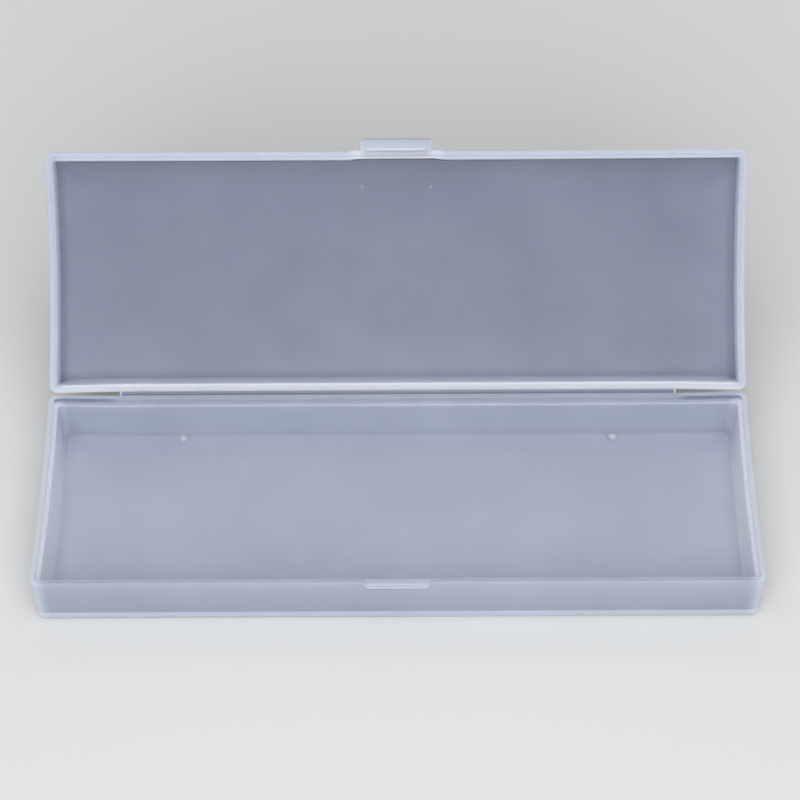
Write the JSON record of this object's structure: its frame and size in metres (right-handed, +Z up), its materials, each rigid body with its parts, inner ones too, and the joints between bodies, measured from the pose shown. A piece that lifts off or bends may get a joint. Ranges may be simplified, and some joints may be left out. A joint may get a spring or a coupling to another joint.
{
  "type": "plastic pencil case",
  "caption": "Flat rectangular pencil case in frosted clear plastic, with a hinged lid laid back and a snap latch at the front.",
  "frame": {"origin": "middle of the foot's underside, where the closed case stands on a table", "axes": "+X along the case, +Y towards the hinge, -Y towards the latch, +Z up"},
  "size_m": [0.205, 0.1275, 0.074],
  "materials": {
    "base_plastic": "satin",
    "lid_plastic": "satin",
    "hinge_web": "satin",
    "latch_plastic": "satin"
  },
  "bodies": {
    "base": {"base_tray": "base_plastic", "catch_ledge": "base_plastic", "gate_nubs": "base_plastic", "base_hinge_leaf": "hinge_web"},
    "lid": {"lid_shell": "lid_plastic", "lid_locating_lip": "lid_plastic", "lid_hinge_leaf": "hinge_web", "latch_plate": "latch_plastic"},
    "latch": {"latch_tab": "latch_plastic", "latch_hook": "latch_plastic"}
  },
  "joints": [
    {"name": "lid_hinge", "type": "hinge", "parent": "base", "child": "lid", "pos_m": [0, 0.03562, 0.0167], "axis": [-1, 0, 0], "range_deg": [-131.7, 48.3]},
    {"name": "latch_flex", "type": "hinge", "parent": "lid", "child": "latch", "pos_m": [0, 0.0898, 0.06549], "axis": [-1, 0, 0], "range_deg": [0, 9], "stiffness_Nm_per_rad": 0.6}
  ]
}
